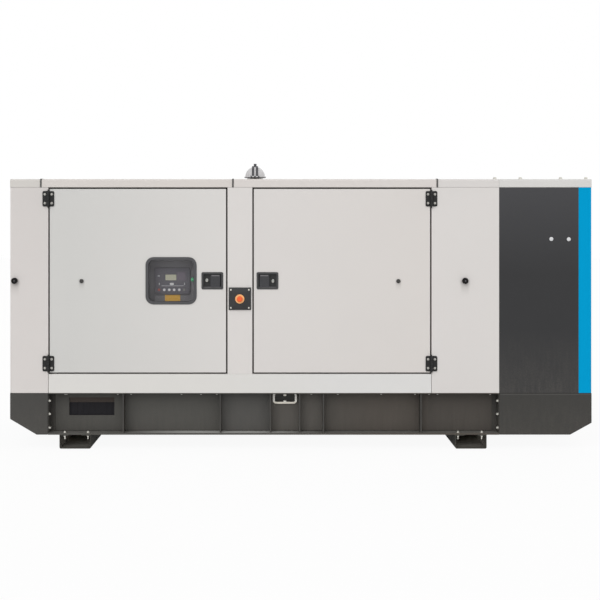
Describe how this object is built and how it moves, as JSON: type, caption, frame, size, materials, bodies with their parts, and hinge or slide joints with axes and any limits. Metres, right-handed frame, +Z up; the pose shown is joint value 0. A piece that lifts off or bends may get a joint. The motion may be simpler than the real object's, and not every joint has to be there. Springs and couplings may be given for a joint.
{
  "type": "canopied diesel generator set",
  "caption": "Diesel generator set in a weatherproof canopy on a skid base with fork pockets: hinged side doors, control window, emergency stop, radiator end and roof exhaust with rain cap.",
  "frame": {"origin": "on the ground under the middle of the canopy", "axes": "+X along the set towards the radiator end, -Y towards the control side with its doors, +Z up"},
  "size_m": [4.6, 1.727, 2.293],
  "materials": {
    "canopy_paint": "satin",
    "base_paint": "satin",
    "black_paint": "satin",
    "dark_paint": "satin",
    "blue_paint": "satin",
    "grey_paint": "satin",
    "pale_rubber": "matte",
    "black_rubber": "matte",
    "lining": "matte",
    "black_plastic": "matte",
    "grey_plastic": "matte",
    "yellow_plastic": "gloss",
    "red_plastic": "gloss",
    "bare_steel": "satin",
    "coated_steel": "satin",
    "engine_iron": "satin",
    "manifold_iron": "matte",
    "fan_plastic": "matte",
    "alternator_iron": "satin",
    "radiator_metal": "satin",
    "clear_pane": "gloss"
  },
  "bodies": {
    "generator": {"base_rail_front": "base_paint", "base_rail_back": "base_paint", "base_ends": "base_paint", "fork_pocket_left": "base_paint", "fork_pocket_right": "base_paint", "joint_angles": "base_paint", "fuel_tank": "black_paint", "well_plate": "base_paint", "machine_bed": "black_paint", "drain_rim": "pale_rubber", "corner_panels": "canopy_paint", "centre_posts": "canopy_paint", "side_panels": "canopy_paint", "radiator_panels": "dark_paint", "corner_posts": "blue_paint", "door_sills": "canopy_paint", "end_wall_left": "canopy_paint", "inlet_louvre": "canopy_paint", "end_wall_right": "dark_paint", "outlet_grille": "dark_paint", "back_doors": "canopy_paint", "back_liner": "lining", "back_latches": "black_plastic", "roof_end": "canopy_paint", "roof_alternator": "canopy_paint", "roof_engine": "canopy_paint", "roof_bridge": "canopy_paint", "roof_radiator": "canopy_paint", "roof_seals": "black_rubber", "exhaust_outlet": "bare_steel", "roof_collar": "bare_steel", "door_frames": "black_rubber", "fixed_hinges": "black_paint", "door_buffers": "black_rubber", "e_stop_box": "black_plastic", "e_stop_ring": "yellow_plastic", "control_cubicle": "grey_paint", "controller": "grey_plastic", "engine": "engine_iron", "engine_heads": "engine_iron", "manifolds": "manifold_iron", "engine_fan": "fan_plastic", "alternator": "alternator_iron", "radiator": "radiator_metal", "silencer": "coated_steel"},
    "left_door": {"door_left": "canopy_paint", "window_bezel": "black_plastic", "window_pane": "clear_pane", "latch_left": "black_plastic", "hinges_left": "black_paint"},
    "right_door": {"door_right": "canopy_paint", "latch_right": "black_plastic", "hinges_right": "black_paint"},
    "left_paddle": {"handle_left": "black_plastic"},
    "right_paddle": {"handle_right": "black_plastic"},
    "stop_button": {"e_stop_button": "red_plastic"},
    "rain_cap": {"exhaust_cap": "bare_steel"}
  },
  "joints": [
    {"name": "left_door_swing", "type": "hinge", "parent": "generator", "child": "left_door", "pos_m": [-1.996, -0.835, 1.328], "axis": [0, 0, -1], "range_deg": [0, 176]},
    {"name": "right_door_swing", "type": "hinge", "parent": "generator", "child": "right_door", "pos_m": [1.032, -0.835, 1.328], "axis": [0, 0, 1], "range_deg": [0, 176]},
    {"name": "left_paddle_pull", "type": "hinge", "parent": "left_door", "child": "left_paddle", "pos_m": [-0.643, -0.816, 1.328], "axis": [0, 0, 1], "range_deg": [0, 40], "stiffness_Nm_per_rad": 0.8},
    {"name": "right_paddle_pull", "type": "hinge", "parent": "right_door", "child": "right_paddle", "pos_m": [-0.321, -0.816, 1.328], "axis": [0, 0, -1], "range_deg": [0, 40], "stiffness_Nm_per_rad": 0.8},
    {"name": "stop_button_push", "type": "slide", "parent": "generator", "child": "stop_button", "axis": [0, 1, 0], "range_m": [0, 0.005], "stiffness_N_per_m": 400},
    {"name": "rain_cap_lift", "type": "hinge", "parent": "generator", "child": "rain_cap", "pos_m": [-0.377, -0.106, 2.178], "axis": [1, 0, 0], "range_deg": [0, 75]}
  ]
}
